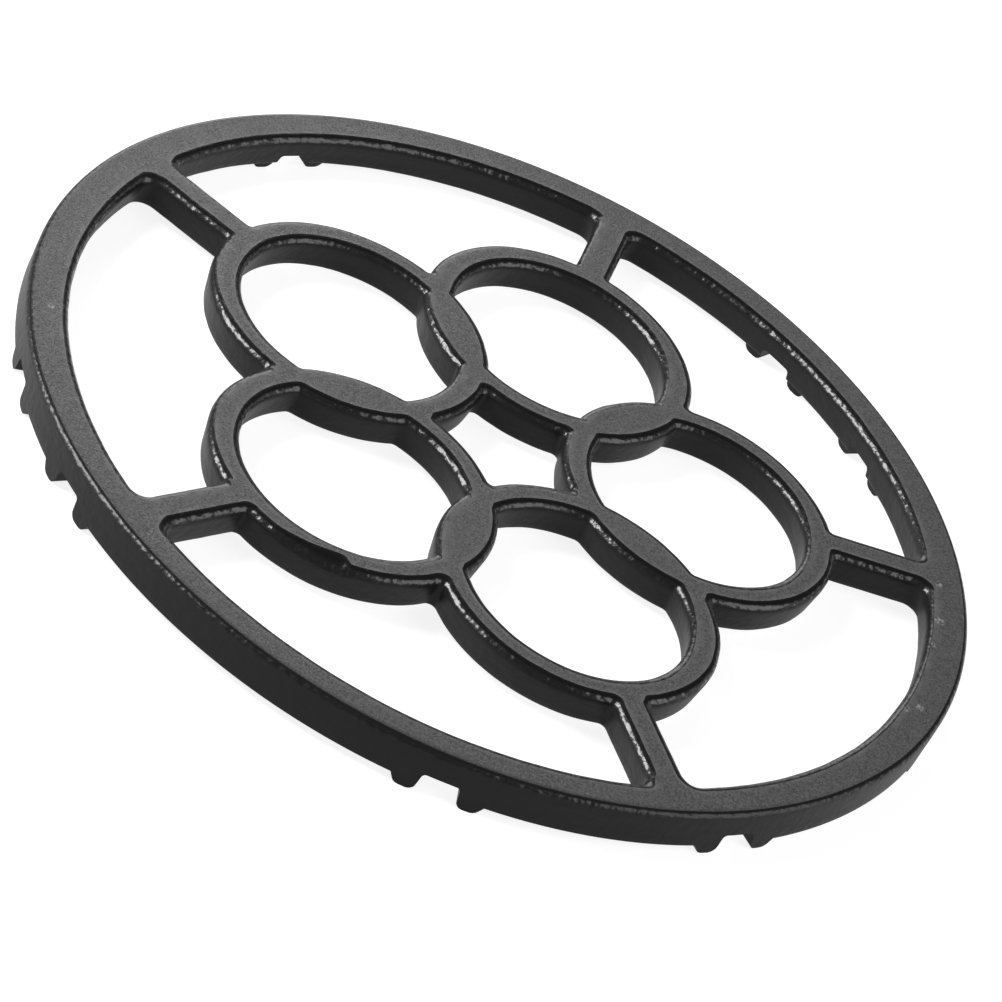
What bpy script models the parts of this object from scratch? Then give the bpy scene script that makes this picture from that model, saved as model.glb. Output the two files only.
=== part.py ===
"""Wok ring for a gas hob: one flat iron casting.

A round rim, five overlapping circles set about the centre and five spokes that tie them to the rim, all
with one flat top. Pairs of lugs under the rim stand either side of the arms of the pan support, and the
arms sit in notches between them. Metres, +Z up, origin under the centre on the plane of the lug tips.
"""

from math import atan2, ceil, cos, pi, radians, sin, sqrt, tan

import bmesh
import bpy
from mathutils import Matrix, Vector

NAME = "wok_ring"

# Plan of the casting. Widths and radii are taken where the bars are widest, under their shoulders.
# The lap is how far the band of one circle reaches into the hole of the next.
RIM_RADIUS = 0.115
RIM_WIDTH = 0.010
CIRCLES = 5
CIRCLE_HOLE_RADIUS = 0.02676
CIRCLE_BAND_WIDTH = 0.00746
CIRCLE_LAP = 0.00554
SPOKE_WIDTH = 0.0088
SPOKE_FILLET = 0.0034
CORNER_FILLET = 0.0012

# Section of the bars
BODY_THICKNESS = 0.0086
SHOULDER_RADIUS = 0.0018
WINDOW_FOOT_RADIUS = 0.0010
RIM_FOOT_RADIUS = 0.0004
WINDOW_DRAFT = radians(9)
RIM_DRAFT = radians(0.5)

# Arms of the pan support, four at a quarter turn and five at a fifth of a turn that share one
ARM_ANGLES = [radians(angle) for angle in (43.3, 62.0, 135.9, 208.2, 226.0, 279.0, 314.3, 350.8)]

# Lugs on each side of an arm, and the notch between them that it sits in
LUG_PITCH = 0.0146
LUG_DROP = 0.0021
LUG_TIP_WIDTH = 0.0036
LUG_TIP_RADIUS = 0.0009
LUG_FLANK = radians(32)
LUG_END_DRAFT = radians(8)
LUG_SETBACK = 0.0001
NOTCH_WIDTH = 0.0092
NOTCH_DEPTH = 0.0028
NOTCH_DRAFT = radians(8)
NOTCH_CORNER_RADIUS = 0.0010

# Facets, and how far a lug sinks into the rim and a cutter passes what it opens
CHORD_ERROR = 0.00009
SHOULDER_STEPS = 3
FOOT_STEPS = 1
OVERLAP = 0.0015

IRON_COLOUR = (0.070, 0.070, 0.073, 1.0)
IRON_ROUGHNESS = 0.55
IRON_METALLIC = 0.0
SHARP_ANGLE = radians(35)

FULL_TURN = 2 * pi
SPOKE_ANGLES = [pi / 2 + FULL_TURN * k / CIRCLES for k in range(CIRCLES)]
RIM_INNER_RADIUS = RIM_RADIUS - RIM_WIDTH
CIRCLE_OUTER_RADIUS = CIRCLE_HOLE_RADIUS + CIRCLE_BAND_WIDTH
CIRCLE_SPACING = CIRCLE_HOLE_RADIUS + CIRCLE_OUTER_RADIUS - CIRCLE_LAP
CIRCLE_PITCH_RADIUS = CIRCLE_SPACING / (2 * sin(pi / CIRCLES))
BOTTOM_Z = LUG_DROP
TOP_Z = BOTTOM_Z + BODY_THICKNESS
CENTRE = Vector((0, 0))


def heading(angle):
    """Unit vector at an angle from +X."""
    return Vector((cos(angle), sin(angle)))


def arc_steps(radius, sweep):
    """Chords that keep an arc within about CHORD_ERROR of its true line."""
    return max(1, ceil(abs(sweep) * sqrt(radius / (8 * CHORD_ERROR))))


class Arc:
    """Edge of an outline on a circle. The outline encloses the circle's inside, or keeps outside it."""

    def __init__(self, centre, radius, encloses):
        self.centre = centre
        self.radius = radius
        self.side = 1 if encloses else -1

    def drawn_back(self, inset):
        return Arc(self.centre, self.radius + self.side * inset, self.side > 0)

    def nearest(self, point):
        return self.centre + (point - self.centre).normalized() * self.radius

    def points(self, start, end, steps=None):
        """From start up to, but without, end, on the way round that keeps the outline on the left."""
        first = start - self.centre
        last = end - self.centre
        turn = (atan2(last.y, last.x) - atan2(first.y, first.x)) * self.side % FULL_TURN * self.side
        steps = steps or arc_steps(self.radius, turn)
        return [self.centre + Matrix.Rotation(turn * i / steps, 2) @ first for i in range(steps)]


class Line:
    """Straight edge of an outline, which lies on its left."""

    def __init__(self, start, direction):
        self.start = start
        self.direction = direction.normalized()
        self.left = Vector((-self.direction.y, self.direction.x))

    def drawn_back(self, inset):
        return Line(self.start - self.left * inset, self.direction)

    def nearest(self, point):
        return self.start + self.direction * (point - self.start).dot(self.direction)

    def points(self, start, end, steps=None):
        return [start]


def crossing(first, second, near):
    """Where two edges cross: of two places, the one nearer to a given point."""
    if isinstance(first, Line) and isinstance(second, Line):
        along = (second.start - first.start).dot(second.left) / first.direction.dot(second.left)
        return first.start + first.direction * along
    if isinstance(first, Line):
        first, second = second, first
    if isinstance(second, Line):
        base = second.nearest(first.centre)
        chord = second.direction
    else:
        apart = second.centre - first.centre
        share = (apart.length_squared + first.radius**2 - second.radius**2) / (2 * apart.length_squared)
        base = first.centre + apart * share
        chord = Vector((-apart.y, apart.x)).normalized()
    reach = sqrt(first.radius**2 - (base - first.centre).length_squared)
    places = (base + chord * reach, base - chord * reach)
    return min(places, key=lambda place: (place - near).length)


class Outline:
    """Closed run of edges, anticlockwise, with a fillet where each edge meets the next."""

    def __init__(self, edges, fillets, hints):
        self.edges = edges
        self.fillets = fillets
        self.hints = hints
        self.steps = None
        self.steps = [len(run) for run in self.runs(0)]

    def runs(self, inset):
        """Points of each edge and each fillet in turn, with every edge drawn back by the inset.

        A run has as many points at each inset, so outlines at two insets match point for point.
        """
        edges = [edge.drawn_back(inset) for edge in self.edges]
        following = edges[1:] + edges[:1]
        centres = [
            crossing(edge.drawn_back(-fillet), after.drawn_back(-fillet), hint)
            for edge, after, fillet, hint in zip(edges, following, self.fillets, self.hints)
        ]
        steps = iter(self.steps or [None] * (2 * len(edges)))
        runs = []
        for i, (edge, after) in enumerate(zip(edges, following)):
            end = edge.nearest(centres[i])
            runs.append(edge.points(edge.nearest(centres[i - 1]), end, next(steps)))
            fillet = Arc(centres[i], self.fillets[i], True)
            runs.append(fillet.points(end, after.nearest(centres[i]), next(steps)))
        return runs

    def points(self, inset=0.0):
        return [point for run in self.runs(inset) for point in run]


def polygon(corners):
    """Outline with straight edges through (x, y, fillet) corners, listed anticlockwise."""
    places = [Vector((x, y)) for x, y, fillet in corners]
    following = places[1:] + places[:1]
    edges = [Line(place, after - place) for place, after in zip(places, following)]
    fillets = [fillet for x, y, fillet in corners]
    return Outline(edges, fillets[1:] + fillets[:1], following)


def bar_section(draft, foot_radius):
    """(inset, z) down one side of a bar: round shoulder, drafted wall, rounded foot.

    The inset is measured from the widest line of the bar, one shoulder radius below the top.
    """
    rows = []
    for i in range(SHOULDER_STEPS + 1):
        turn = pi / 2 - (pi / 2 + draft) * i / SHOULDER_STEPS
        rows.append((SHOULDER_RADIUS * (1 - cos(turn)), TOP_Z - SHOULDER_RADIUS * (1 - sin(turn))))
    wall_inset, wall_z = rows[-1]
    foot_z = BOTTOM_Z + foot_radius * (1 - sin(draft))
    foot_centre = wall_inset + (wall_z - foot_z) * tan(draft) + foot_radius * cos(draft)
    for i in range(FOOT_STEPS + 1):
        turn = draft + (pi / 2 - draft) * i / FOOT_STEPS
        rows.append((foot_centre - foot_radius * cos(turn), BOTTOM_Z + foot_radius * (1 - sin(turn))))
    return rows


def circle_centre(k):
    """Circle k, counted anticlockwise from the one on +Y."""
    return heading(SPOKE_ANGLES[k % CIRCLES]) * CIRCLE_PITCH_RADIUS


def hole_outline(k):
    """Hole of circle k, with the bands of both neighbours bulging into it."""
    own = circle_centre(k)
    ring = Arc(own, CIRCLE_HOLE_RADIUS, True)
    after = Arc(circle_centre(k + 1), CIRCLE_OUTER_RADIUS, False)
    before = Arc(circle_centre(k - 1), CIRCLE_OUTER_RADIUS, False)
    corners = [(after, 2 * own), (after, CENTRE), (before, CENTRE), (before, 2 * own)]
    hints = [crossing(ring, bulge, near) for bulge, near in corners]
    return Outline([ring, after, ring, before], [CORNER_FILLET] * 4, hints)


def centre_outline():
    """Gap in the middle, outside all the circles."""
    edges = [Arc(circle_centre(k), CIRCLE_OUTER_RADIUS, False) for k in range(CIRCLES)]
    hints = [crossing(edge, after, CENTRE) for edge, after in zip(edges, edges[1:] + edges[:1])]
    return Outline(edges, [CORNER_FILLET] * CIRCLES, hints)


def bay_outline(k):
    """Bay between spoke k and the next, inside the rim and outside two circles."""
    here = heading(SPOKE_ANGLES[k])
    there = heading(SPOKE_ANGLES[(k + 1) % CIRCLES])
    half_width = SPOKE_WIDTH / 2
    rim = Arc(CENTRE, RIM_INNER_RADIUS, True)
    next_spoke = Line(CENTRE, -there).drawn_back(-half_width)
    next_circle = Arc(circle_centre(k + 1), CIRCLE_OUTER_RADIUS, False)
    circle = Arc(circle_centre(k), CIRCLE_OUTER_RADIUS, False)
    spoke = Line(CENTRE, here).drawn_back(-half_width)
    edges = [rim, next_spoke, next_circle, circle, spoke]
    fillets = [SPOKE_FILLET, CORNER_FILLET, CORNER_FILLET, CORNER_FILLET, SPOKE_FILLET]
    outward = [there, there, here + there, here, here]
    hints = [
        crossing(edge, after, way * RIM_RADIUS)
        for edge, after, way in zip(edges, edges[1:] + edges[:1], outward)
    ]
    return Outline(edges, fillets, hints)


def iron():
    material = bpy.data.materials.new("cast_iron")
    material.use_nodes = True
    shader = material.node_tree.nodes["Principled BSDF"]
    shader.inputs["Base Color"].default_value = IRON_COLOUR
    shader.inputs["Roughness"].default_value = IRON_ROUGHNESS
    shader.inputs["Metallic"].default_value = IRON_METALLIC
    material.diffuse_color = IRON_COLOUR
    return material


def add_collection(name):
    collection = bpy.data.collections.new(name)
    bpy.context.scene.collection.children.link(collection)
    return collection


def add_object(name, mesh, collection):
    """Object made from a bmesh, which is freed."""
    data = bpy.data.meshes.new(name)
    mesh.to_mesh(data)
    mesh.free()
    made = bpy.data.objects.new(name, data)
    collection.objects.link(made)
    return made


def set_aside(tool):
    """Marks an object that only cuts or shapes the casting."""
    tool.hide_render = True
    tool.display_type = "WIRE"
    return tool


def add_tool(name, mesh, tools):
    bmesh.ops.recalc_face_normals(mesh, faces=mesh.faces)
    return set_aside(add_object(name, mesh, tools))


def add_turned(name, profile, collection):
    """Solid of revolution. The profile of (radius, z) points runs down its outer side.

    It starts and ends on the axis.
    """
    mesh = bmesh.new()
    chain = [mesh.verts.new((radius, 0, z)) for radius, z in profile]
    for upper, lower in zip(chain, chain[1:]):
        mesh.edges.new((upper, lower))
    turned = add_object(name, mesh, collection)
    screw = turned.modifiers.new("turn", "SCREW")
    screw.steps = 4 * ceil(arc_steps(RIM_RADIUS, FULL_TURN) / 4)
    screw.render_steps = screw.steps
    screw.use_merge_vertices = True
    screw.merge_threshold = 0.00001
    return turned


def add_boolean(target, operation, other):
    modifier = target.modifiers.new(other.name, "BOOLEAN")
    modifier.operation = operation
    modifier.solver = "MANIFOLD"
    modifier.object = other


def add_blank(collection):
    """Round plate with the outer wall of the rim, as deep as the lugs."""
    wall = [(RIM_RADIUS - inset, z) for inset, z in bar_section(RIM_DRAFT, RIM_FOOT_RADIUS)]
    shoulder = wall[:SHOULDER_STEPS + 1]
    low_radius = shoulder[-1][0] - shoulder[-1][1] * tan(RIM_DRAFT)
    return add_turned(NAME, [(0, TOP_Z)] + shoulder + [(low_radius, 0), (0, 0)], collection)


def add_window(name, outline, tools):
    """Cutter for one window, lofted down the section of the bars around it."""
    rows = bar_section(WINDOW_DRAFT, WINDOW_FOOT_RADIUS)
    rows = [(rows[0][0], TOP_Z + OVERLAP)] + rows + [(rows[-1][0], -OVERLAP)]
    mesh = bmesh.new()
    rings = []
    for inset, z in rows:
        rings.append([mesh.verts.new((point.x, point.y, z)) for point in outline.points(inset)])
    for upper, lower in zip(rings, rings[1:]):
        for i in range(len(upper)):
            mesh.faces.new((upper[i - 1], lower[i - 1], lower[i], upper[i]))
    mesh.faces.new(rings[0])
    mesh.faces.new(reversed(rings[-1]))
    return add_tool(name, mesh, tools)


def add_bar(mesh, section, start, end, angle, lean=0.0):
    """Adds a bar to a bmesh: a section of (sideways, z) points, run out from the centre at an angle.

    The near end starts at the plane of the rim's underside and leans outwards below it.
    """
    near = [
        mesh.verts.new((start + (BOTTOM_Z - point.y) * tan(lean), point.x, point.y))
        for point in section.points()
    ]
    far = [mesh.verts.new((end, vert.co.y, vert.co.z)) for vert in near]
    mesh.faces.new(near)
    mesh.faces.new(reversed(far))
    for i in range(len(near)):
        mesh.faces.new((near[i - 1], far[i - 1], far[i], near[i]))
    bmesh.ops.rotate(mesh, verts=near + far, matrix=Matrix.Rotation(angle, 3, "Z"))


def lug_section(middle):
    """Outline across a lug, from a flat tip up its sloping flanks to a root inside the rim."""
    half_tip = LUG_TIP_WIDTH / 2
    half_root = half_tip + (BOTTOM_Z + OVERLAP) * tan(LUG_FLANK)
    return polygon([
        (middle - half_tip, 0, LUG_TIP_RADIUS),
        (middle + half_tip, 0, LUG_TIP_RADIUS),
        (middle + half_root, BOTTOM_Z + OVERLAP, 0),
        (middle - half_root, BOTTOM_Z + OVERLAP, 0),
    ])


def add_lugs(tools):
    """Pads that are left standing under the rim, two to an arm."""
    start = RIM_INNER_RADIUS + bar_section(WINDOW_DRAFT, WINDOW_FOOT_RADIUS)[-1][0] + LUG_SETBACK
    mesh = bmesh.new()
    for angle in ARM_ANGLES:
        for side in (-1, 1):
            section = lug_section(side * LUG_PITCH / 2)
            add_bar(mesh, section, start, RIM_RADIUS + 2 * OVERLAP, angle, LUG_END_DRAFT)
    return add_tool("lugs", mesh, tools)


def add_underside(tools):
    """Cutter for all that lies lower than the bars, but for the lugs. It rounds the rim's lower edge."""
    foot = bar_section(RIM_DRAFT, RIM_FOOT_RADIUS)[-1 - FOOT_STEPS:]
    (inset, z), (next_inset, next_z) = foot[:2]
    outside = (RIM_RADIUS - inset + OVERLAP, z + OVERLAP * (z - next_z) / (next_inset - inset))
    profile = [(RIM_RADIUS - inset, z) for inset, z in reversed(foot[1:])]
    profile = [(0, BOTTOM_Z)] + profile + [outside, (outside[0], -OVERLAP), (0, -OVERLAP)]
    underside = set_aside(add_turned("underside", profile, tools))
    # Half a facet round, so that its facets cross those of the rim cleanly
    underside.rotation_euler.z = pi / underside.modifiers["turn"].steps
    add_boolean(underside, "DIFFERENCE", add_lugs(tools))
    return underside


def add_notches(tools):
    """Cutter for all the notches, each drafted from its mouth up to its ceiling."""
    half_mouth = NOTCH_WIDTH / 2 + (BOTTOM_Z + OVERLAP) * tan(NOTCH_DRAFT)
    half_ceiling = NOTCH_WIDTH / 2 - NOTCH_DEPTH * tan(NOTCH_DRAFT)
    section = polygon([
        (-half_mouth, -OVERLAP, 0),
        (half_mouth, -OVERLAP, 0),
        (half_ceiling, BOTTOM_Z + NOTCH_DEPTH, NOTCH_CORNER_RADIUS),
        (-half_ceiling, BOTTOM_Z + NOTCH_DEPTH, NOTCH_CORNER_RADIUS),
    ])
    mesh = bmesh.new()
    for angle in ARM_ANGLES:
        add_bar(mesh, section, RIM_INNER_RADIUS - OVERLAP, RIM_RADIUS + OVERLAP, angle)
    return add_tool("notches", mesh, tools)


def settle(body):
    """Keeps the finished shape as the object's own mesh, smooth but for its creases."""
    graph = bpy.context.evaluated_depsgraph_get()
    body.data = bpy.data.meshes.new_from_object(body.evaluated_get(graph))
    body.modifiers.clear()
    body.data.materials.clear()
    body.data.materials.append(iron())
    body.data.shade_smooth()
    body.data.set_sharp_from_angle(angle=SHARP_ANGLE)


def main():
    for item in list(bpy.data.objects):
        bpy.data.objects.remove(item)
    tools = add_collection("cutters")
    body = add_blank(add_collection("wok_ring_casting"))
    add_boolean(body, "DIFFERENCE", add_underside(tools))
    add_boolean(body, "DIFFERENCE", add_window("centre_gap", centre_outline(), tools))
    for k in range(CIRCLES):
        add_boolean(body, "DIFFERENCE", add_window(f"hole_{k + 1}", hole_outline(k), tools))
        add_boolean(body, "DIFFERENCE", add_window(f"bay_{k + 1}", bay_outline(k), tools))
    add_boolean(body, "DIFFERENCE", add_notches(tools))
    settle(body)


main()
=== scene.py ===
"""Looks of a wok ring for a gas hob: one iron casting under satin black enamel.

The casting is modelled again at a finer grain than its solid, with rounded shoulders, drafted walls and
the slight unevenness of sand casting, and finished in procedural enamel. Metres, +Z up.
"""

from math import atan2, ceil, cos, pi, radians, sin, sqrt, tan

import bmesh
import bpy
from bpy.props import FloatProperty, FloatVectorProperty, IntProperty, PointerProperty
from mathutils import Matrix, Vector, noise


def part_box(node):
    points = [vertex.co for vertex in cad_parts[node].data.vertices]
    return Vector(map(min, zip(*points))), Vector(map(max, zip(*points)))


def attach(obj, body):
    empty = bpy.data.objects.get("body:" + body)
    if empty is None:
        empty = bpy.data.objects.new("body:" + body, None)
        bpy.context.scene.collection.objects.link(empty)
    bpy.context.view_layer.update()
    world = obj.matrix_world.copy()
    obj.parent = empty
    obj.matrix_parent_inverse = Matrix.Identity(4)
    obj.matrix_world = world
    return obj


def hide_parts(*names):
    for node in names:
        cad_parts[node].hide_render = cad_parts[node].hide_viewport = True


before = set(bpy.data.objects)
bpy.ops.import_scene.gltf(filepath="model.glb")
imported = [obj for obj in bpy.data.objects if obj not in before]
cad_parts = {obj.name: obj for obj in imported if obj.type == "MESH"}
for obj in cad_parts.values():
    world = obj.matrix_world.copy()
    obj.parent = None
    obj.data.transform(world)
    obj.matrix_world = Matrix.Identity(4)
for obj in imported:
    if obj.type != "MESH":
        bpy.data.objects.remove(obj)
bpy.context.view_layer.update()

bl_info = {
    "name": "Wok ring",
    "version": (1, 0, 0),
    "blender": (4, 5, 0),
    "location": "View3D > Sidebar > Wok ring",
    "description": "Builds a cast iron wok ring, its enamel and a plain studio",
    "category": "Object",
}

CAD_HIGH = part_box("wok_ring")[1]
FULL_TURN = 2 * pi
CENTRE = Vector((0, 0))

# Factors that drop a vector's height and keep its plan
IN_PLAN = (1, 1, 0)

# Directions of the support's arms round the rim, in degrees from +X
ARM_ANGLES = (43.3, 62.0, 135.9, 208.2, 226.0, 279.0, 314.3, 350.8)

# Small pits and flecks in the flat top: x, y and radius
BLEMISHES = (
    (-0.1033, -0.0366, 0.0010),
    (0.1035, 0.0300, 0.0012),
    (0.1062, 0.0168, 0.0016),
    (0.1064, 0.0070, 0.0010),
    (0.1078, -0.0178, 0.0014),
    (0.1045, -0.0205, 0.0016),
)

# Rows of facets down the side of a bar
SHOULDER_STEPS = 9
WALL_STEPS = 4
FOOT_STEPS = 3

# Largest turn of one facet round an arc
FACET_TURN = radians(12)

# Growth of a corner's fillet as its outline is drawn back
CORNER_OPENING = 0.65

# How far a cutter reaches past what it cuts
OVERLAP = 0.0015

# Room between a lug and the foot of the rim's inner wall, and the lean of the lug's inner end
LUG_ROOM = 0.0001
LUG_LEAN = radians(8)

# Points closer than this are merged: anywhere, and along the edges of the flat top
MERGE_DISTANCE = 0.00001
EDGE_MERGE_DISTANCE = 0.00018

# Z of the normal from which a face counts as level
LEVEL = 0.9999

# Turn from which a corner between two faces stays sharp
SHARP_TURN = radians(40)

# Name of the attribute that marks the edges of the flat top, for their wear and their painted shade
EDGE_MARK = "edge"

# The edges' wander is the same each time, is drawn out in height and has a finer one laid over it
WAVER_SEED = 7
WAVER_STRETCH = 3
FINE_WAVER_SCALE = 2.3
FINE_WAVER_SHARE = 0.5

# Under 1, this keeps the rim's lean near its depth over more of its leaning side
LEAN_POWER = 0.75

# Share of the rim's width, from outside, where the windows' shoulders aren't reshaped
RIM_KEPT_SHARE = 0.6

# Plan length of the normal under which a point faces straight up or down
LEAST_SLOPE = 0.01

# Share of the chip's stretch over which it ends again, and how far past the band it is looked for
CHIP_END = 0.12
CHIP_MARGIN = 0.0002

# Z of the normal at each step of the finish, from 0 on an upright wall to 1 on the flat top
COLOUR_STEPS = (0.22, 0.45)
PEBBLE_STEPS = (0.22, 0.45, 0.78, 0.92)
GLOSS_STEPS = (0.25, 0.50, 0.84, 0.93, 0.998, 1.0)
ROUGHNESS_STEPS = (0.75, 0.88, 0.998, 1.0)
TOP_STEPS = (0.9985, 0.9999)

# Radii between which the gloss falls off toward the rim's outer edge
RIM_STEPS = (0.1095, 0.1120)

# Usual range of a noise texture
NOISE_RANGE = (0.3, 0.7)

# Floor that rises to a backdrop all round, as (radius, z) points
FLOOR_PROFILE = ((0, 0), (2.2, 0), (2.4, 0.03), (2.55, 0.12), (2.6, 0.6))
FLOOR_STEPS = 96

# Lights: name, direction from +X and height in degrees, distance and width
LIGHTS = (
    ("key", 186, 36, 0.90, 0.57),
    ("fill", 350, 34, 1.20, 1.10),
    ("back", 108, 22, 1.30, 0.70),
)


def length(name, default, description):
    return FloatProperty(name=name, default=default, description=description, unit="LENGTH", precision=5)


def angle(name, degrees, description):
    return FloatProperty(name=name, default=radians(degrees), description=description, unit="ROTATION")


def share(name, default, description):
    return FloatProperty(name=name, default=default, description=description, subtype="FACTOR", min=0, max=1)


def power(name, default, description):
    return FloatProperty(name=name, default=default, description=description, unit="POWER")


def number(name, default, description):
    return FloatProperty(name=name, default=default, description=description)


def colour(name, default, description):
    return FloatVectorProperty(
        name=name, default=default, description=description, subtype="COLOR", size=3, min=0, max=1)


class WokRingSizes(bpy.types.PropertyGroup):
    """Sizes of the casting. Widths are taken where the bars are widest."""

    rim_radius: length("Rim radius", CAD_HIGH.x, "Outer radius of the rim")
    rim_width: length("Rim width", 0.010, "Width of the rim")
    top_height: length("Top height", CAD_HIGH.z, "Height of the flat top over the tips of the lugs")
    circles: IntProperty(name="Circles", default=5, min=3, description="Number of circles and of spokes")
    hole_radius: length("Hole radius", 0.02676, "Radius of the hole in each circle")
    band_width: length("Band width", 0.00746, "Width of the band round each circle")
    circle_lap: length("Circle lap", 0.00554, "How far a band reaches into the next hole")
    spoke_width: length("Spoke width", 0.0088, "Width of the spokes")
    spoke_fillet: length("Spoke fillet", 0.0034, "Corner radius where a spoke meets the rim")
    corner_fillet: length("Corner fillet", 0.0012, "Corner radius where bands cross")
    window_shoulder_radius: length("Window shoulder radius", 0.0021, "Rounding of the windows' top edges")
    rim_shoulder_radius: length("Rim shoulder radius", 0.0013, "Rounding of the rim's outer top edge")
    window_foot_radius: length("Window foot radius", 0.0010, "Rounding of the lower edges of the windows")
    rim_foot_radius: length("Rim foot radius", 0.0004, "Rounding of the rim's lower edge")
    window_draft: angle("Window draft", 9, "Lean of the walls of the windows")
    rim_draft: angle("Rim draft", 0.5, "Lean of the rim's outer wall")
    lug_pitch: length("Lug pitch", 0.0146, "Distance between the two lugs of a pair")
    lug_drop: length("Lug drop", 0.0021, "How far the lugs stand below the rim")
    lug_tip_width: length("Lug tip width", 0.0036, "Width of the tip of a lug before it is rounded")
    lug_tip_radius: length("Lug tip radius", 0.0020, "Rounding of the tip of a lug")
    lug_flank: angle("Lug flank", 32, "Slope of the sides of a lug")
    notch_width: length("Notch width", 0.0092, "Width of the notch between two lugs")
    notch_depth: length("Notch depth", 0.0028, "Depth of the notch into the rim")
    notch_draft: angle("Notch draft", 8, "Lean of the sides of a notch")
    notch_corner_radius: length("Notch corner radius", 0.0010, "Rounding inside a notch")
    rim_lean: length("Rim lean", 0.0011, "How far the top of the rim's wall leans in on its leaning side")
    # Side where the rim leans in, and where painted shade darkens the flat top's outer edge
    lean_and_shade_side: angle("Lean and shade side", 275, "Middle of the rim's leaning side, from +X")
    lean_and_shade_spread: angle("Lean and shade spread", 65, "Reach of the leaning side each way")
    shoulder_fullness: length(
        "Shoulder fullness", 0.00013, "How far the windows' shoulders stand out beyond a round")
    left_narrowing: length("Left narrowing", 0.0010, "How much narrower the shoulders are that face left")
    left_side: angle("Left side", 188, "Way that the narrowest shoulders on the left face, from +X")
    left_spread: angle("Left spread", 45, "Reach of the narrower shoulders on the left, each way")
    right_narrowing: length("Right narrowing", 0.0004, "How much narrower the shoulders are that face right")
    right_spread: angle("Right spread", 38, "Reach of the narrower shoulders on the right, each way")
    chip_circle: IntProperty(name="Chip circle", default=2, min=0, description="Circle whose band has a flaw")
    chip_depth: length("Chip depth", 0.0023, "How far the flaw eats into the flat top")
    chip_start: angle("Chip start", 250, "Where the flaw starts round its circle, from +X")
    chip_turn: angle("Chip turn", 32, "How far round its circle the flaw deepens")
    # This strip holds both the rubbed edges and the painted shade on the rim's outer edge
    wear_and_shade_width: length("Wear and shade width", 0.0011, "Width of the strip of wear and painted shade along the edges of the flat top")
    waver: length("Waver", 0.00010, "How far the cast edges wander from their true line")
    waver_length: length("Waver length", 0.0070, "Distance over which the edges wander")
    facet: length("Facet", 0.0010, "Longest side of a facet along the edges")


class WokRingLook(bpy.types.PropertyGroup):
    """Colours and finish of the enamel."""

    enamel: colour("Enamel", (0.0060, 0.0060, 0.0062), "Colour of the glossy enamel on the shoulders")
    wall: colour("Wall", (0.0130, 0.0130, 0.0133), "Colour of the duller enamel on the walls")
    flat_dark: colour("Flat, dark", (0.032, 0.032, 0.033), "Darkest grain of the flat top")
    flat_light: colour("Flat, light", (0.105, 0.105, 0.106), "Lightest grain of the flat top")
    worn_edge: colour("Worn edge", (0.120, 0.120, 0.121), "Colour of the flat top along its edges")
    # Painted shade: the flat top's outer edge is darkened on the rim's leaning side
    shaded_edge: colour(
        "Shaded edge", (0.027, 0.027, 0.027), "Colour of the flat top where shade is painted along its edge")
    pit: colour("Pit", (0.010, 0.010, 0.010), "Colour of the small pits in the flat top")
    fleck: colour("Fleck", (0.300, 0.300, 0.301), "Colour of the bare flecks in the flat top")
    wall_roughness: share("Wall roughness", 0.42, "Roughness of the walls and low on the shoulders")
    upper_roughness: share("Upper roughness", 0.31, "Roughness high on the shoulders, next to the flat top")
    flat_roughness: share("Flat roughness", 0.52, "Roughness of the flat top")
    gloss_roughness: share("Gloss roughness", 0.24, "Roughness of the gloss that lies over the enamel")
    flat_gloss: share("Flat gloss", 0.10, "Share of the shoulders' gloss that the flat top has")
    rim_gloss: share("Rim gloss", 0.40, "Share of the shoulders' gloss that is left on the rim's outer edge")
    side_gloss: share("Side gloss", 0.15, "Share of the gloss that is left on the dullest shoulders")
    dull_side: angle("Dull side", 172, "Way that the dullest shoulders face, from +X")
    dull_spread: angle("Dull spread", 40, "Reach of the duller shoulders each way")
    dull_core: angle("Dull core", 28, "Reach of the dullest shoulders each way")
    enamel_refraction: number("Enamel refraction", 1.30, "Index of refraction of the enamel")
    gloss_refraction: number("Gloss refraction", 1.50, "Index of refraction of the gloss over it")
    pebble_height: length("Pebble height", 0.00019, "Height of the pebbles on walls and shoulders")
    wall_pebbles: share("Wall pebbles", 0.30, "Share of the pebbles' height that the walls have")
    upper_pebbles: share("Upper pebbles", 0.35, "Share of the pebbles' height next to the flat top")
    pebble_scale: number("Pebble scale", 470, "Scale of the pebbles")
    speckle_scale: number("Speckle scale", 1500, "Scale of the finer bumps on the pebbles")
    speckle_share: share("Speckle share", 0.15, "Height of the finer bumps as a share of the pebbles'")
    grain_height: length("Grain height", 0.00006, "Height of the grain on the flat top")
    grain_scale: number("Grain scale", 1900, "Scale of the grain on the flat top")
    patch_scale: number("Patch scale", 260, "Scale of the worn patches along the edges")
    fleck_scale: number("Fleck scale", 1300, "Scale of the pattern inside the pits and flecks")


class WokRingStudio(bpy.types.PropertyGroup):
    """Lights, floor and camera."""

    floor: colour("Floor", (0.40, 0.40, 0.40), "Colour of the floor and backdrop")
    floor_glow: number("Floor glow", 0.86, "Brightness that the floor shows of its own")
    floor_mirrored: number("Floor mirrored", 0.56, "Brightness of its own that the floor shows in gloss")
    key_power: power("Key power", 11.3, "Power of the key light")
    fill_power: power("Fill power", 6.6, "Power of the fill light")
    back_power: power("Back power", 5.5, "Power of the light behind")
    world: number("World", 0.10, "Brightness of the surroundings")
    lens: FloatProperty(name="Lens", default=161.3, description="Focal length of the camera", unit="CAMERA")
    camera_place: FloatVectorProperty(
        name="Camera place", default=(-0.02295, -0.83613, 0.57910), description="Place of the camera",
        subtype="TRANSLATION", unit="LENGTH", size=3, precision=5)
    camera_turn: FloatVectorProperty(
        name="Camera turn", default=(radians(51.4413), radians(-23.2989), radians(15.6271)),
        description="Rotation of the camera", subtype="EULER", unit="ROTATION", size=3, precision=4)


def heading(turn):
    """Unit vector at an angle from +X."""
    return Vector((cos(turn), sin(turn)))


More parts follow.
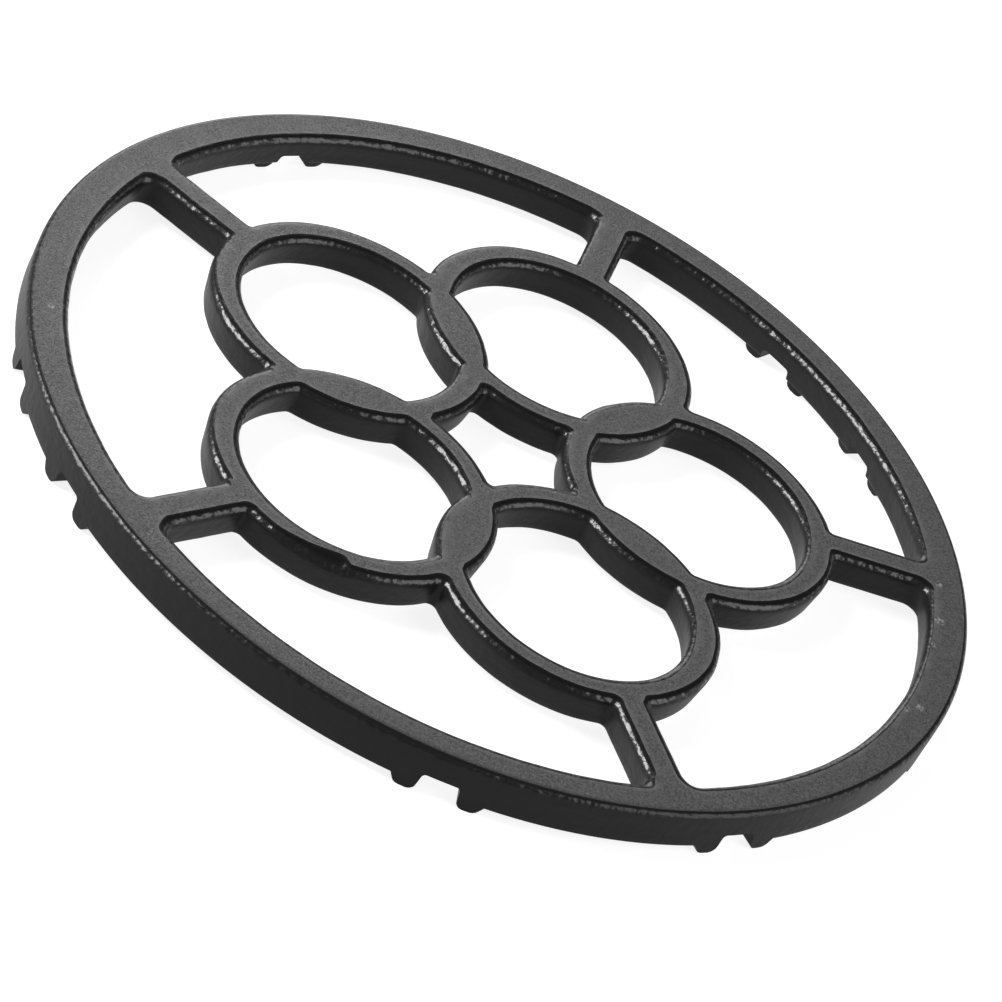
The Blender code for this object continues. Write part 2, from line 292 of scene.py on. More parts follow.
class Arc:
    """Edge of an outline on a circle. The outline encloses the circle's inside, or keeps outside it."""

    def __init__(self, centre, radius, encloses):
        self.centre = centre
        self.radius = radius
        self.side = 1 if encloses else -1

    def drawn_back(self, inset):
        return Arc(self.centre, self.radius + self.side * inset, self.side > 0)

    def nearest(self, point):
        return self.centre + (point - self.centre).normalized() * self.radius

    def points(self, start, end, facet, steps=None):
        """From start up to, but without, end, on the way round that keeps the outline on the left."""
        first = start - self.centre
        last = end - self.centre
        turn = (atan2(last.y, last.x) - atan2(first.y, first.x)) * self.side % FULL_TURN * self.side
        steps = steps or max(ceil(abs(turn) * self.radius / facet), ceil(abs(turn) / FACET_TURN), 1)
        return [self.centre + Matrix.Rotation(turn * i / steps, 2) @ first for i in range(steps)]


class Line:
    """Straight edge of an outline, which lies on its left."""

    def __init__(self, start, direction):
        self.start = start
        self.direction = direction.normalized()
        self.left = Vector((-self.direction.y, self.direction.x))

    def drawn_back(self, inset):
        return Line(self.start - self.left * inset, self.direction)

    def nearest(self, point):
        return self.start + self.direction * (point - self.start).dot(self.direction)

    def points(self, start, end, facet, steps=None):
        """From start up to, but without, end."""
        steps = steps or max(ceil((end - start).length / facet), 1)
        return [start.lerp(end, i / steps) for i in range(steps)]


def crossing(first, second, near):
    """Where two edges cross: of two places, the one nearer to a given point."""
    if isinstance(first, Line) and isinstance(second, Line):
        along = (second.start - first.start).dot(second.left) / first.direction.dot(second.left)
        return first.start + first.direction * along
    if isinstance(first, Line):
        first, second = second, first
    if isinstance(second, Line):
        base = second.nearest(first.centre)
        chord = second.direction
    else:
        apart = second.centre - first.centre
        part = (apart.length_squared + first.radius**2 - second.radius**2) / (2 * apart.length_squared)
        base = first.centre + apart * part
        chord = Vector((-apart.y, apart.x)).normalized()
    reach = sqrt(first.radius**2 - (base - first.centre).length_squared)
    places = (base + chord * reach, base - chord * reach)
    return min(places, key=lambda place: (place - near).length)


class Outline:
    """Closed run of edges, anticlockwise, with a fillet where each edge meets the next.

    A hint is a point near the corner at the end of its edge. The number of points in each run is settled
    once, for the outline as given, so that it has as many points however far it is drawn back.
    """

    def __init__(self, edges, fillets, hints, facet):
        self.edges = edges
        self.fillets = fillets
        self.hints = hints
        self.facet = facet
        self.steps = None
        self.steps = [len(run) for run in self.runs(0)]

    def runs(self, inset):
        """Points of each edge and each fillet in turn, with every edge drawn back by the inset."""
        edges = [edge.drawn_back(inset) for edge in self.edges]
        following = edges[1:] + edges[:1]
        fillets = [fillet + CORNER_OPENING * inset for fillet in self.fillets]
        centres = [
            crossing(edge.drawn_back(-fillet), after.drawn_back(-fillet), hint)
            for edge, after, fillet, hint in zip(edges, following, fillets, self.hints)
        ]
        steps = iter(self.steps or [None] * (2 * len(edges)))
        runs = []
        for i, (edge, after) in enumerate(zip(edges, following)):
            end = edge.nearest(centres[i])
            runs.append(edge.points(edge.nearest(centres[i - 1]), end, self.facet, next(steps)))
            fillet = Arc(centres[i], fillets[i], True)
            runs.append(fillet.points(end, after.nearest(centres[i]), self.facet, next(steps)))
        return runs

    def points(self, inset=0.0):
        return [point for run in self.runs(inset) for point in run]


def polygon(corners, facet):
    """Outline with straight edges through (x, y, fillet) corners, listed anticlockwise."""
    places = [Vector((x, y)) for x, y, fillet in corners]
    following = places[1:] + places[:1]
    edges = [Line(place, after - place) for place, after in zip(places, following)]
    fillets = [fillet for x, y, fillet in corners]
    return Outline(edges, fillets[1:] + fillets[:1], following, facet)


def bar_section(sizes, shoulder, draft, foot_radius):
    """(inset, z) down one side of a bar: round shoulder, drafted wall, rounded foot."""
    rows = []
    for i in range(SHOULDER_STEPS + 1):
        turn = pi / 2 - (pi / 2 + draft) * i / SHOULDER_STEPS
        rows.append((shoulder * (1 - cos(turn)), sizes.top_height - shoulder * (1 - sin(turn))))
    wall_inset, wall_z = rows[-1]
    foot_z = sizes.lug_drop + foot_radius * (1 - sin(draft))
    for i in range(1, WALL_STEPS):
        drop = (wall_z - foot_z) * i / WALL_STEPS
        rows.append((wall_inset + drop * tan(draft), wall_z - drop))
    foot_centre = wall_inset + (wall_z - foot_z) * tan(draft) + foot_radius * cos(draft)
    for i in range(FOOT_STEPS + 1):
        turn = draft + (pi / 2 - draft) * i / FOOT_STEPS
        rows.append((foot_centre - foot_radius * cos(turn), sizes.lug_drop + foot_radius * (1 - sin(turn))))
    return rows


def window_section(sizes):
    return bar_section(sizes, sizes.window_shoulder_radius, sizes.window_draft, sizes.window_foot_radius)


def rim_section(sizes):
    return bar_section(sizes, sizes.rim_shoulder_radius, sizes.rim_draft, sizes.rim_foot_radius)


class Plan:
    """Outlines of the windows between the bars."""

    def __init__(self, sizes):
        self.sizes = sizes
        self.outer = sizes.hole_radius + sizes.band_width
        spacing = sizes.hole_radius + self.outer - sizes.circle_lap
        self.pitch = spacing / (2 * sin(pi / sizes.circles))

    def spoke(self, k):
        return heading(pi / 2 + FULL_TURN * k / self.sizes.circles)

    def centre(self, k):
        return self.spoke(k) * self.pitch

    def band(self, k):
        return Arc(self.centre(k), self.outer, False)

    def hole(self, k):
        """Hole of circle k, with the bands of both neighbours bulging into it."""
        own = self.centre(k)
        ring = Arc(own, self.sizes.hole_radius, True)
        after = self.band(k + 1)
        before = self.band(k - 1)
        corners = [(after, 2 * own), (after, CENTRE), (before, CENTRE), (before, 2 * own)]
        hints = [crossing(ring, bulge, near) for bulge, near in corners]
        return Outline([ring, after, ring, before], [self.sizes.corner_fillet] * 4, hints, self.sizes.facet)

    def gap(self):
        """Gap in the middle, outside all the circles."""
        edges = [self.band(k) for k in range(self.sizes.circles)]
        hints = [crossing(edge, after, CENTRE) for edge, after in zip(edges, edges[1:] + edges[:1])]
        return Outline(edges, [self.sizes.corner_fillet] * len(edges), hints, self.sizes.facet)

    def bay(self, k):
        """Bay between spoke k and the next, inside the rim and outside two circles."""
        here = self.spoke(k)
        there = self.spoke(k + 1)
        half_width = self.sizes.spoke_width / 2
        rim = Arc(CENTRE, self.sizes.rim_radius - self.sizes.rim_width, True)
        next_spoke = Line(CENTRE, -there).drawn_back(-half_width)
        spoke = Line(CENTRE, here).drawn_back(-half_width)
        edges = [rim, next_spoke, self.band(k + 1), self.band(k), spoke]
        large = self.sizes.spoke_fillet
        small = self.sizes.corner_fillet
        outward = [there, there, here + there, here, here]
        hints = [
            crossing(edge, after, way * self.sizes.rim_radius)
            for edge, after, way in zip(edges, edges[1:] + edges[:1], outward)
        ]
        return Outline(edges, [large, small, small, small, large], hints, self.sizes.facet)


def new_verts(made):
    """Points among what an operator made."""
    return {item for item in made if isinstance(item, bmesh.types.BMVert)}


def edges_between(made, verts):
    """Edges among what an operator made that join two of the points."""
    return [item for item in made if isinstance(item, bmesh.types.BMEdge) and set(item.verts) <= verts]


def loft(mesh, rings):
    """Adds a closed solid through rings of points, which all have as many points."""
    ring = [mesh.verts.new(point) for point in rings[0]]
    edges = mesh.faces.new(ring).edges[:]
    for points in rings[1:]:
        made = bmesh.ops.extrude_edge_only(mesh, edges=edges)["geom"]
        fresh = new_verts(made)
        edges = edges_between(made, fresh)
        ring = [next(edge.other_vert(vert) for edge in vert.link_edges if edge.other_vert(vert) in fresh)
                for vert in ring]
        for vert, point in zip(ring, points):
            vert.co = point
    mesh.faces.new(ring)


def turn_round(mesh, profile, steps):
    """Spins a profile of (radius, z) points round Z. It is a closed solid if both ends are on the axis."""
    chain = [mesh.verts.new((radius, 0, z)) for radius, z in profile]
    edges = [mesh.edges.new(pair) for pair in zip(chain, chain[1:])]
    bmesh.ops.spin(mesh, geom=chain + edges, axis=(0, 0, 1), cent=(0, 0, 0),
                   angle=FULL_TURN, steps=steps, use_merge=True)
    bmesh.ops.remove_doubles(mesh, verts=mesh.verts, dist=MERGE_DISTANCE)


def new_object(name, mesh):
    """Object made from a bmesh, whose faces are turned to point outwards."""
    bmesh.ops.recalc_face_normals(mesh, faces=mesh.faces)
    data = bpy.data.meshes.new(name)
    mesh.to_mesh(data)
    mesh.free()
    made = bpy.data.objects.new(name, data)
    bpy.context.scene.collection.objects.link(made)
    return made


def rim_steps(sizes):
    """Facets round the rim: a multiple of four, so that it keeps its full size along X and Y."""
    return 4 * ceil(FULL_TURN * sizes.rim_radius / sizes.facet / 4)


def blank(sizes):
    """Round plate with the shoulder and the outer wall of the rim, as deep as the lugs."""
    rows = rim_section(sizes)[:SHOULDER_STEPS + WALL_STEPS]
    wall = [(sizes.rim_radius - inset, z) for inset, z in rows]
    low_radius = wall[-1][0] - wall[-1][1] * tan(sizes.rim_draft)
    mesh = bmesh.new()
    turn_round(mesh, [(0, sizes.top_height)] + wall + [(low_radius, 0), (0, 0)], rim_steps(sizes))
    return new_object("wok_ring_enamelled", mesh)


def windows(sizes):
    """Cutter for all the windows, each lofted down the section of the bars around it."""
    plan = Plan(sizes)
    outlines = [plan.gap()]
    outlines += [plan.hole(k) for k in range(sizes.circles)]
    outlines += [plan.bay(k) for k in range(sizes.circles)]
    rows = window_section(sizes)
    rows = [(rows[0][0], sizes.top_height + OVERLAP)] + rows + [(rows[-1][0], -OVERLAP)]
    mesh = bmesh.new()
    for outline in outlines:
        loft(mesh, [[(p.x, p.y, z) for p in outline.points(inset)] for inset, z in rows])
    return new_object("windows", mesh)


def add_bar(mesh, sizes, section, start, end, turn, lean=0.0):
    """Adds a bar: a section of (sideways, z) points, run out from start to end at an angle from +X.

    With a lean, its inner end slopes, and passes through the start at the height of the rim's underside.
    """
    stations = max(2, ceil((end - start) / sizes.facet))
    rings = []
    for i in range(stations + 1):
        out = start + (end - start) * i / stations
        rings.append([
            (out + (sizes.lug_drop - p.y) * tan(lean) * (1 - i / stations), p.x, p.y)
            for p in section.points()
        ])
    before = set(mesh.verts)
    loft(mesh, rings)
    fresh = [vert for vert in mesh.verts if vert not in before]
    bmesh.ops.rotate(mesh, verts=fresh, cent=(0, 0, 0), matrix=Matrix.Rotation(turn, 3, "Z"))


def lugs(sizes):
    """Pads that are left standing under the rim, two to an arm."""
    foot_inset = window_section(sizes)[-1][0]
    start = sizes.rim_radius - sizes.rim_width + foot_inset + LUG_ROOM
    half_tip = sizes.lug_tip_width / 2
    half_root = half_tip + (sizes.lug_drop + OVERLAP) * tan(sizes.lug_flank)
    mesh = bmesh.new()
    for arm in ARM_ANGLES:
        for side in (-1, 1):
            middle = side * sizes.lug_pitch / 2
            section = polygon([
                (middle - half_tip, 0, sizes.lug_tip_radius),
                (middle + half_tip, 0, sizes.lug_tip_radius),
                (middle + half_root, sizes.lug_drop + OVERLAP, 0),
                (middle - half_root, sizes.lug_drop + OVERLAP, 0),
            ], sizes.facet)
            add_bar(mesh, sizes, section, start, sizes.rim_radius + 2 * OVERLAP, radians(arm), LUG_LEAN)
    return new_object("lugs", mesh)


def underside(sizes):
    """Cutter for all that lies lower than the bars. It rounds the rim's lower edge."""
    foot = rim_section(sizes)[-1 - FOOT_STEPS:]
    (inset, z), (next_inset, next_z) = foot[:2]
    outside = (sizes.rim_radius - inset + OVERLAP, z + OVERLAP * (z - next_z) / (next_inset - inset))
    profile = [(sizes.rim_radius - inset, z) for inset, z in reversed(foot[1:])]
    profile = [(0, sizes.lug_drop)] + profile + [outside, (outside[0], -OVERLAP), (0, -OVERLAP)]
    steps = rim_steps(sizes)
    mesh = bmesh.new()
    turn_round(mesh, profile, steps)
    bmesh.ops.rotate(mesh, verts=mesh.verts, cent=(0, 0, 0), matrix=Matrix.Rotation(pi / steps, 3, "Z"))
    return new_object("underside", mesh)


def notches(sizes):
    """Cutter for all the notches, each drafted from its mouth up to its ceiling."""
    half_mouth = sizes.notch_width / 2 + (sizes.lug_drop + OVERLAP) * tan(sizes.notch_draft)
    half_ceiling = sizes.notch_width / 2 - sizes.notch_depth * tan(sizes.notch_draft)
    ceiling = sizes.lug_drop + sizes.notch_depth
    section = polygon([
        (-half_mouth, -OVERLAP, 0),
        (half_mouth, -OVERLAP, 0),
        (half_ceiling, ceiling, sizes.notch_corner_radius),
        (-half_ceiling, ceiling, sizes.notch_corner_radius),
    ], sizes.facet)
    start = sizes.rim_radius - sizes.rim_width - OVERLAP
    mesh = bmesh.new()
    for arm in ARM_ANGLES:
        add_bar(mesh, sizes, section, start, sizes.rim_radius + OVERLAP, radians(arm))
    return new_object("notches", mesh)


def cut(body, tool):
    """Cuts the tool out of the body and removes the tool."""
    modifier = body.modifiers.new(tool.name, "BOOLEAN")
    modifier.operation = "DIFFERENCE"
    modifier.solver = "MANIFOLD"
    modifier.object = tool
    graph = bpy.context.evaluated_depsgraph_get()
    data = bpy.data.meshes.new_from_object(body.evaluated_get(graph))
    if len(data.polygons) == len(body.data.polygons):
        raise RuntimeError(f"{tool.name} cut nothing from {body.name}")
    body.modifiers.clear()
    body.data = data
    bpy.data.objects.remove(tool)


def smooth(value):
    """0 up to 0, 1 from 1, and an even curve between."""
    value = min(1, max(0, value))
    return value * value * (3 - 2 * value)


def turn_between(first, second):
    """Turn from the second angle to the first, the short way round."""
    return (first - second + pi) % FULL_TURN - pi


def lean_and_shade_share(sizes, place):
    """1 in the middle of the side where the rim leans in and its outer top edge has painted shade, down to 0
    at the reach of that side.
    """
    away = turn_between(atan2(place.y, place.x), sizes.lean_and_shade_side)
    return max(0, cos(away / sizes.lean_and_shade_spread * pi / 2)) if abs(away) < sizes.lean_and_shade_spread else 0


def facing_share(facing, middle, spread):
    """1 where a side faces the middle direction, down to 0 at the spread from it."""
    away = abs(turn_between(facing, middle))
    return cos(away / spread * pi / 2) ** 2 if away < spread else 0


def directions_onto_top(edges):
    """For each point of the edges round the flat top, the way in plan from the slope onto the top."""
    directions = {}
    for edge in edges:
        slope = edge.link_faces[0]
        middle = (edge.verts[0].co + edge.verts[1].co) / 2
        along = edge.verts[1].co - edge.verts[0].co
        onto = Vector((along.y, -along.x, 0))
        if onto.dot(middle - slope.calc_center_median()) < 0:
            onto.negate()
        for vert in edge.verts:
            directions[vert] = directions.get(vert, Vector()) + onto
    return directions


def renew_top(mesh, sizes):
    """Makes the flat top anew as a strip along its edges and a filled middle.

    The edges are marked 1 where the enamel is rubbed off, and down to -1 on the rim's outer edge on its
    leaning side, where shade is painted.
    """
    mark = mesh.verts.layers.float.new(EDGE_MARK)
    lowest = sizes.top_height - MERGE_DISTANCE
    flats = [face for face in mesh.faces if face.normal.z > LEVEL and face.verts[0].co.z > lowest]
    bmesh.ops.delete(mesh, geom=flats, context="FACES")
    open_verts = [vert for vert in mesh.verts if vert.is_boundary]
    bmesh.ops.remove_doubles(mesh, verts=open_verts, dist=EDGE_MERGE_DISTANCE)
    open_edges = [edge for edge in mesh.edges if edge.is_boundary]
    directions = directions_onto_top(open_edges)
    made = bmesh.ops.extrude_edge_only(mesh, edges=open_edges)["geom"]
    fresh = new_verts(made)
    for vert in fresh:
        source = next(edge.other_vert(vert) for edge in vert.link_edges if edge.other_vert(vert) not in fresh)
        outermost = source.co.xy.length > sizes.rim_radius - sizes.rim_width / 2
        # Negative marks on the rim's outer edge place painted shade; 1 on the windows' edges places wear
        source[mark] = -lean_and_shade_share(sizes, source.co) if outermost else 1.0
        vert.co = source.co + directions[source].normalized() * sizes.wear_and_shade_width
        vert[mark] = 0.0
    inner = edges_between(made, fresh)
    bmesh.ops.triangle_fill(mesh, use_beauty=True, use_dissolve=False, edges=inner, normal=(0, 0, 1))
    bmesh.ops.recalc_face_normals(mesh, faces=mesh.faces)


def shape_shoulders(mesh, sizes):
    """Makes the shoulders of the windows fuller than a round, and narrower where they face along X."""
    mesh.normal_update()
    shoulder = sizes.window_shoulder_radius
    largest = sizes.rim_radius - sizes.rim_width * RIM_KEPT_SHARE
    moves = []
    for vert in mesh.verts:
        rise = (vert.co.z - sizes.top_height) / shoulder + 1
        plan = vert.normal.xy
        radius = vert.co.xy.length
        if rise <= 0 or plan.length < LEAST_SLOPE or radius > largest:
            continue
        facing = atan2(plan.y, plan.x)
        narrowing = sizes.left_narrowing * facing_share(facing, sizes.left_side, sizes.left_spread)
        narrowing += sizes.right_narrowing * facing_share(facing, 0, sizes.right_spread)
        rise = min(1, rise)
        fall = sqrt(1 - rise**2)
        inside = smooth((sizes.rim_radius - sizes.rim_width - radius) / shoulder)
        out = narrowing * (1 - fall) + 2 * sizes.shoulder_fullness * rise * fall * inside
        moves.append((vert, plan.normalized() * out))
    for vert, move in moves:
        vert.co.x += move.x
        vert.co.y += move.y


def chip(mesh, sizes):
    """Lets the shoulder of one band eat into its flat top along a short stretch, a flaw of the casting."""
    plan = Plan(sizes)
    centre = plan.centre(sizes.chip_circle)
    shoulder = sizes.window_shoulder_radius
    inner = sizes.hole_radius + shoulder
    outer = plan.outer - shoulder
    for vert in mesh.verts:
        spot = vert.co.xy - centre
        reach = spot.length
        if reach < inner or reach > plan.outer + CHIP_MARGIN or vert.co.z < sizes.top_height - shoulder:
            continue
        along = (atan2(spot.y, spot.x) % FULL_TURN - sizes.chip_start) / sizes.chip_turn
        if not 0 < along < 1 + CHIP_END:
            continue
        depth = sizes.chip_depth * (smooth(along) if along < 1 else 1 - smooth((along - 1) / CHIP_END))
        part = (reach - inner) / (outer - inner)
        if reach > outer:
            part = (vert.co.z - sizes.top_height) / shoulder + 1
        spot *= 1 - depth * part / reach
        vert.co.x = centre.x + spot.x
        vert.co.y = centre.y + spot.y


def waver(mesh, sizes):
    """Lets the edges of the windows wander a little, as they do on a sand casting."""
    noise.seed_set(WAVER_SEED)
    for vert in mesh.verts:
        spot = Vector((vert.co.x, vert.co.y, vert.co.z / WAVER_STRETCH)) / sizes.waver_length
        wander = noise.noise_vector(spot) + FINE_WAVER_SHARE * noise.noise_vector(spot * FINE_WAVER_SCALE)
        inside = min(1, max(0, (sizes.rim_radius - vert.co.xy.length) / sizes.rim_width))
        vert.co.x += wander.x * sizes.waver * inside
        vert.co.y += wander.y * sizes.waver * inside


def lean_rim(mesh, sizes):
    """Draws the top of the rim's outer wall in on its leaning side, so the wall leans there."""
    for vert in mesh.verts:
        radius = vert.co.xy.length
        if radius < sizes.rim_radius - sizes.rim_width / 2:
            continue
        depth = sizes.rim_lean * lean_and_shade_share(sizes, vert.co) ** LEAN_POWER
        height = max(0, (vert.co.z - sizes.lug_drop) / (sizes.top_height - sizes.lug_drop))
        near_wall = smooth((radius - sizes.rim_radius + sizes.rim_width / 2) / (sizes.rim_width / 4))
        vert.co.xy *= 1 - depth * height * near_wall / radius


def crease(mesh):
    """Marks the line between the flat top and the shoulders, and every sharp corner."""
    for edge in mesh.edges:
        flats = sum(face.normal.z > LEVEL for face in edge.link_faces)
        edge.smooth = flats != 1 and edge.calc_face_angle(0) < SHARP_TURN
    for face in mesh.faces:
        face.smooth = True


class WOKRING_OT_casting(bpy.types.Operator):
    """Model the casting and finish it in enamel"""

    bl_idname = "wok_ring.casting"
    bl_label = "Casting"

    def execute(self, context):
        sizes = context.scene.wok_ring_sizes
        body = blank(sizes)
        under = underside(sizes)
        cut(under, lugs(sizes))
        cut(body, under)
        cut(body, windows(sizes))
        cut(body, notches(sizes))
        mesh = bmesh.new()
        mesh.from_mesh(body.data)
        bmesh.ops.remove_doubles(mesh, verts=mesh.verts, dist=MERGE_DISTANCE)
        renew_top(mesh, sizes)
        shape_shoulders(mesh, sizes)
        chip(mesh, sizes)
        waver(mesh, sizes)
        lean_rim(mesh, sizes)
        mesh.normal_update()
        crease(mesh)
        mesh.to_mesh(body.data)
        mesh.free()
        body.data.materials.clear()
        body.data.materials.append(enamel(context.scene.wok_ring_look))
        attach(body, "root")
        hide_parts("wok_ring")
        return {"FINISHED"}


def new_material(name):
    material = bpy.data.materials.new(name)
    material.use_nodes = True
    return material


def feed(tree, target, values):
    """Sets each named or numbered input of a node to its value, or links it where that is a socket."""
    for name, value in values.items():
        if isinstance(value, bpy.types.NodeSocket):
            tree.links.new(value, target.inputs[name])
        else:
            target.inputs[name].default_value = value


def node(tree, kind, values, **settings):
    """Adds a node with its settings and feeds its inputs."""
    made = tree.nodes.new(kind)
    for name, setting in settings.items():
        setattr(made, name, setting)
    feed(tree, made, values)
    return made


def math_of(tree, operation, *values):
    return node(tree, "ShaderNodeMath", dict(enumerate(values)), operation=operation).outputs[0]


def vector_of(tree, operation, *values):
    return node(tree, "ShaderNodeVectorMath", dict(enumerate(values)), operation=operation).outputs["Vector"]


def number_of(tree, operation, *values):
    """Result of a vector operation that gives a number."""
    return node(tree, "ShaderNodeVectorMath", dict(enumerate(values)), operation=operation).outputs["Value"]


def range_of(tree, value, low, high, at_low=0, at_high=1):
    """Carries a value over from low and high to the levels there, and holds it at those levels beyond."""
    inputs = {"Value": value, "From Min": low, "From Max": high, "To Min": at_low, "To Max": at_high}
    return node(tree, "ShaderNodeMapRange", inputs).outputs[0]


def noise_of(tree, spot, scale, detail, roughness=0.5):
    """Noise on the object's own coordinates, with its usual range spread over 0 to 1."""
    inputs = {"Vector": spot, "Scale": scale, "Detail": detail, "Roughness": roughness}
    return range_of(tree, node(tree, "ShaderNodeTexNoise", inputs).outputs["Fac"], *NOISE_RANGE)


def ramp_of(tree, value, positions, levels):
    """Grey ramp with a level at each position."""
    made = node(tree, "ShaderNodeValToRGB", {"Fac": value})
    elements = made.color_ramp.elements
    while len(elements) < len(positions):
        elements.new(0.5)
    for element, position, level in zip(elements, positions, levels):
        element.position = position
        element.color = (level, level, level, 1)
    return made.outputs["Color"]


def bump_of(tree, height, distance, strength=1):
    inputs = {"Height": height, "Distance": distance, "Strength": strength}
    return node(tree, "ShaderNodeBump", inputs).outputs[0]


def mixed(tree, kind, first, second, factor):
    """The first at a factor of 0 and the second at 1."""
    inputs = {"A": first, "B": second, "Factor": factor}
    return node(tree, "ShaderNodeMix", inputs, data_type=kind).outputs["Result"]


def opaque(shade):
    return (*shade, 1)


def top_colour(tree, look, spot, grain):
    """Grained flat top, rubbed pale along its edges or darkened there with painted shade, with a few pits and
    flecks.
    """
    shown = mixed(tree, "RGBA", opaque(look.flat_dark), opaque(look.flat_light), grain)
    edge = node(tree, "ShaderNodeAttribute", {}, attribute_name=EDGE_MARK).outputs["Fac"]
    rubbed = math_of(tree, "MULTIPLY", edge, noise_of(tree, spot, look.patch_scale, detail=2))
    shown = mixed(tree, "RGBA", shown, opaque(look.worn_edge), rubbed)
    # Painted shade along the flat top's outer edge on the rim's leaning side
    shown = mixed(tree, "RGBA", shown, opaque(look.shaded_edge), range_of(tree, edge, 0, -1))
    flecks = noise_of(tree, spot, look.fleck_scale, detail=1)
    flecked = mixed(tree, "RGBA", opaque(look.pit), opaque(look.fleck), flecks)
    for x, y, radius in BLEMISHES:
        away = number_of(tree, "DISTANCE", spot, (x, y, CAD_HIGH.z))
        shown = mixed(tree, "RGBA", shown, flecked, range_of(tree, away, radius, radius / 2))
    return shown


def rim_share(tree, look, spot):
    """Share of the gloss that is left: all of it inside the rim's outer edge, and less on that edge."""
    radius = number_of(tree, "LENGTH", vector_of(tree, "MULTIPLY", spot, IN_PLAN))
    return range_of(tree, radius, *RIM_STEPS, 1, look.rim_gloss)


def side_share(tree, look, normal):
    """Share of the gloss that is left: all of it but on shoulders that face the dull side."""
    facing = vector_of(tree, "NORMALIZE", vector_of(tree, "MULTIPLY", normal, IN_PLAN))
    toward = number_of(tree, "DOT_PRODUCT", facing, (*heading(look.dull_side), 0))
    return range_of(tree, toward, cos(look.dull_spread), cos(look.dull_core), 1, look.side_gloss)


def relief(tree, look, spot, upward, top, grain):
    """Bumps: pebbles below the flat top and fine grain on it."""
    coarse = noise_of(tree, spot, look.pebble_scale, detail=1)
    fine = noise_of(tree, spot, look.speckle_scale, detail=2)
    pebbles = math_of(tree, "MULTIPLY_ADD", fine, look.speckle_share, coarse)
    strength = ramp_of(tree, upward, PEBBLE_STEPS, (look.wall_pebbles, 1, 1, look.upper_pebbles))
    pebbled = bump_of(tree, pebbles, look.pebble_height, strength)
    return mixed(tree, "VECTOR", pebbled, bump_of(tree, grain, look.grain_height), top)


def enamel(look):
    """Black enamel: glossy and pebbled on the shoulders, duller on the walls, and rubbed on the flat top."""
    material = new_material("black_enamel")
    tree = material.node_tree
    place = node(tree, "ShaderNodeTexCoord", {})
    spot = place.outputs["Object"]
    normal = place.outputs["Normal"]
    upward = node(tree, "ShaderNodeSeparateXYZ", {0: normal}).outputs["Z"]
    top = range_of(tree, upward, *TOP_STEPS)
    grain = noise_of(tree, spot, look.grain_scale, detail=3, roughness=0.6)
    rim = rim_share(tree, look, spot)

    blackened = math_of(tree, "MULTIPLY", range_of(tree, upward, *COLOUR_STEPS), rim)
    sides = mixed(tree, "RGBA", opaque(look.wall), opaque(look.enamel), blackened)
    gloss = ramp_of(tree, upward, GLOSS_STEPS, (0, 1, 1, 0, 0, look.flat_gloss))
    gloss = math_of(tree, "MULTIPLY", gloss, rim)
    levels = (look.wall_roughness, look.upper_roughness, look.upper_roughness, look.flat_roughness)
    bumps = relief(tree, look, spot, upward, top, grain)
    feed(tree, tree.nodes["Principled BSDF"], {
        "Base Color": mixed(tree, "RGBA", sides, top_colour(tree, look, spot, grain), top),
        "Roughness": ramp_of(tree, upward, ROUGHNESS_STEPS, levels),
        "IOR": look.enamel_refraction,
        "Coat Weight": math_of(tree, "MULTIPLY", gloss, side_share(tree, look, normal)),
        "Coat Roughness": look.gloss_roughness,
        "Coat IOR": look.gloss_refraction,
        "Normal": bumps,
        "Coat Normal": bumps,
    })
    return material


def stage_material(studio):
    """Pale and matt. To the camera and in gloss it also shows some light of its own, so it stays white."""
    material = new_material("pale_paper")
    tree = material.node_tree
    ray = node(tree, "ShaderNodeLightPath", {}).outputs
    mirrored = math_of(tree, "MAXIMUM", ray["Is Glossy Ray"], ray["Is Transmission Ray"])
    dimmed = math_of(tree, "MULTIPLY", mirrored, studio.floor_mirrored)
    feed(tree, tree.nodes["Principled BSDF"], {
        "Base Color": opaque(studio.floor),
        "Roughness": 1,
        "Specular IOR Level": 0,
        "Emission Color": (1, 1, 1, 1),
        "Emission Strength": math_of(tree, "MULTIPLY_ADD", ray["Is Camera Ray"], studio.floor_glow, dimmed),
    })
    return material


def add_light(name, turn, height, distance, width, watts):
    """Round soft light that faces the middle of the object, placed by two angles and its distance."""
    data = bpy.data.lights.new(name, "AREA")
    data.shape = "DISK"
    data.size = width
    data.energy = watts
    light = bpy.data.objects.new(name, data)
    away = Vector((cos(turn) * cos(height), sin(turn) * cos(height), sin(height)))
    light.location = away * distance
    light.rotation_euler = away.to_track_quat("Z", "Y").to_euler()
    bpy.context.scene.collection.objects.link(light)


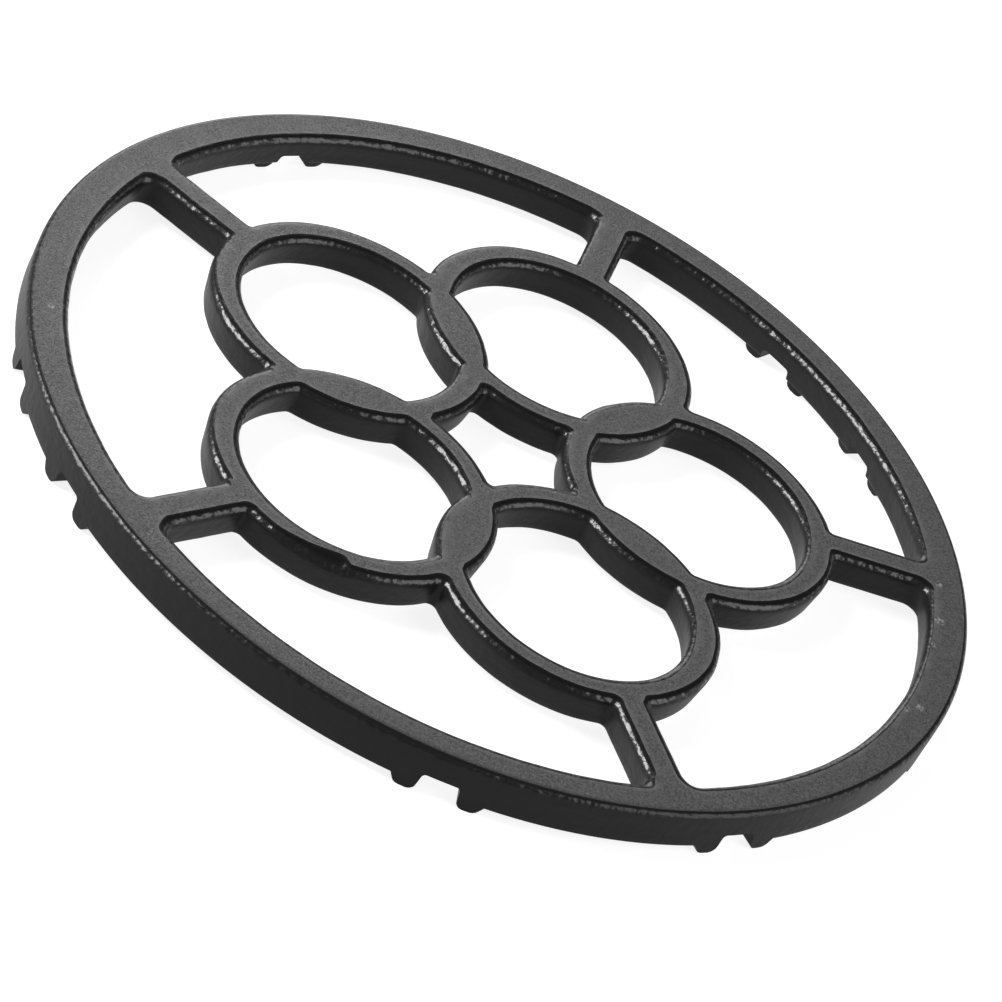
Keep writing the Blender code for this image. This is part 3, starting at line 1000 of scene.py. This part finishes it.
class WOKRING_OT_stage(bpy.types.Operator):
    """Set the floor, backdrop, lights and camera"""

    bl_idname = "wok_ring.stage"
    bl_label = "Stage"

    def execute(self, context):
        studio = context.scene.wok_ring_studio
        mesh = bmesh.new()
        turn_round(mesh, FLOOR_PROFILE, FLOOR_STEPS)
        floor = new_object("floor", mesh)
        for face in floor.data.polygons:
            face.use_smooth = True
        floor.data.materials.append(stage_material(studio))

        world = bpy.data.worlds.new("studio")
        world.use_nodes = True
        background = world.node_tree.nodes["Background"]
        feed(world.node_tree, background, {"Color": (1, 1, 1, 1), "Strength": studio.world})
        context.scene.world = world

        for name, turn, height, distance, width in LIGHTS:
            watts = getattr(studio, f"{name}_power")
            add_light(name, radians(turn), radians(height), distance, width, watts)

        data = bpy.data.cameras.new("camera")
        data.lens = studio.lens
        data.sensor_width = 36
        data.clip_start = 0.05
        data.clip_end = 20
        camera = bpy.data.objects.new("camera", data)
        camera.location = studio.camera_place
        camera.rotation_euler = studio.camera_turn
        context.scene.collection.objects.link(camera)
        context.scene.camera = camera
        context.scene.view_settings.view_transform = "Standard"
        return {"FINISHED"}


class WOKRING_PT_panel(bpy.types.Panel):
    """Steps and values of the wok ring"""

    bl_idname = "WOKRING_PT_panel"
    bl_label = "Wok ring"
    bl_space_type = "VIEW_3D"
    bl_region_type = "UI"
    bl_category = "Wok ring"

    def draw(self, context):
        layout = self.layout
        layout.operator(WOKRING_OT_casting.bl_idname)
        layout.operator(WOKRING_OT_stage.bl_idname)
        for name in GROUPS:
            group = getattr(context.scene, name)
            for key in group.bl_rna.properties.keys():
                if key not in ("rna_type", "name"):
                    layout.prop(group, key)


GROUPS = {
    "wok_ring_sizes": WokRingSizes,
    "wok_ring_look": WokRingLook,
    "wok_ring_studio": WokRingStudio,
}
CLASSES = (*GROUPS.values(), WOKRING_OT_casting, WOKRING_OT_stage, WOKRING_PT_panel)


def register():
    for item in CLASSES:
        bpy.utils.register_class(item)
    for name, group in GROUPS.items():
        setattr(bpy.types.Scene, name, PointerProperty(type=group))


def unregister():
    for name in GROUPS:
        delattr(bpy.types.Scene, name)
    for item in reversed(CLASSES):
        bpy.utils.unregister_class(item)


def main():
    register()
    bpy.ops.wok_ring.casting()
    bpy.ops.wok_ring.stage()


if __name__ == "__main__":
    main()
